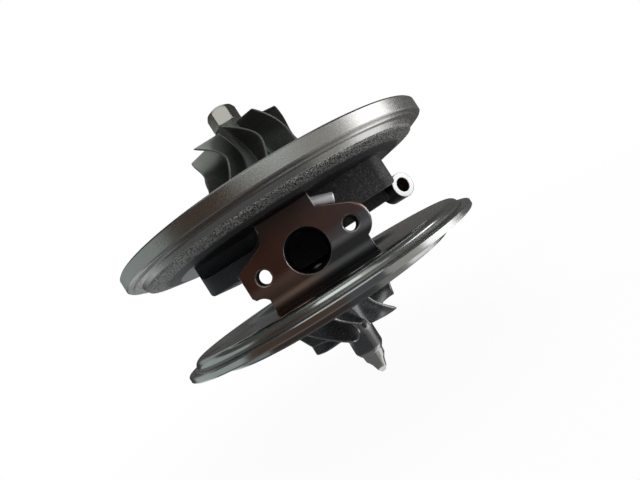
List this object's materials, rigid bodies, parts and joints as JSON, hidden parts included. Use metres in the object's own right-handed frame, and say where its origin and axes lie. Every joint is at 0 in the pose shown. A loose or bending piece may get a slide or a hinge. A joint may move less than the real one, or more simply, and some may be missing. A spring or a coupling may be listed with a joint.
{
  "type": "turbocharger cartridge",
  "caption": "Turbocharger centre cartridge: bearing housing with oil drain flange, round backplate, and a rotor with compressor and turbine wheels.",
  "frame": {"origin": "on the shaft's axis, in the turbine flange's mounting face", "axes": "+Z along the shaft towards the compressor, -Y out of the oil drain flange"},
  "size_m": [0.122, 0.122, 0.117],
  "materials": {
    "cast_iron": "satin",
    "turned_iron": "satin",
    "steel": "satin",
    "dark_steel": "satin",
    "turbine_alloy": "satin",
    "cast_aluminium": "matte",
    "bronze": "satin",
    "rubber": "matte"
  },
  "bodies": {
    "housing": {"bearing_housing": "cast_iron", "compressor_backplate": "turned_iron", "backplate_screw_1": "dark_steel", "backplate_screw_2": "dark_steel", "backplate_screw_3": "dark_steel", "backplate_screw_4": "dark_steel", "backplate_o_ring": "rubber", "thrust_bearing": "bronze", "thrust_pin_1": "steel", "thrust_pin_2": "steel", "compressor_piston_ring": "steel", "bearing_spacer": "steel", "turbine_piston_ring_1": "steel", "turbine_piston_ring_2": "steel", "heat_shield": "steel", "gallery_plug": "steel"},
    "rotor": {"turbine_shaft": "steel", "turbine_wheel": "turbine_alloy", "thrust_collar": "steel", "oil_flinger": "steel", "compressor_wheel": "cast_aluminium", "compressor_nut": "steel"},
    "floating_bearing_compressor": {"journal_bearing_compressor": "bronze"},
    "floating_bearing_turbine": {"journal_bearing_turbine": "bronze"}
  },
  "joints": [
    {"name": "rotor_spin", "type": "hinge", "parent": "housing", "child": "rotor", "pos_m": [0, 0, 0.02], "axis": [0, 0, 1], "continuous": true},
    {"name": "compressor_bearing_spin", "type": "hinge", "parent": "housing", "child": "floating_bearing_compressor", "pos_m": [0, 0, 0.026], "axis": [0, 0, 1], "continuous": true},
    {"name": "turbine_bearing_spin", "type": "hinge", "parent": "housing", "child": "floating_bearing_turbine", "pos_m": [0, 0, 0.0155], "axis": [0, 0, 1], "continuous": true}
  ]
}
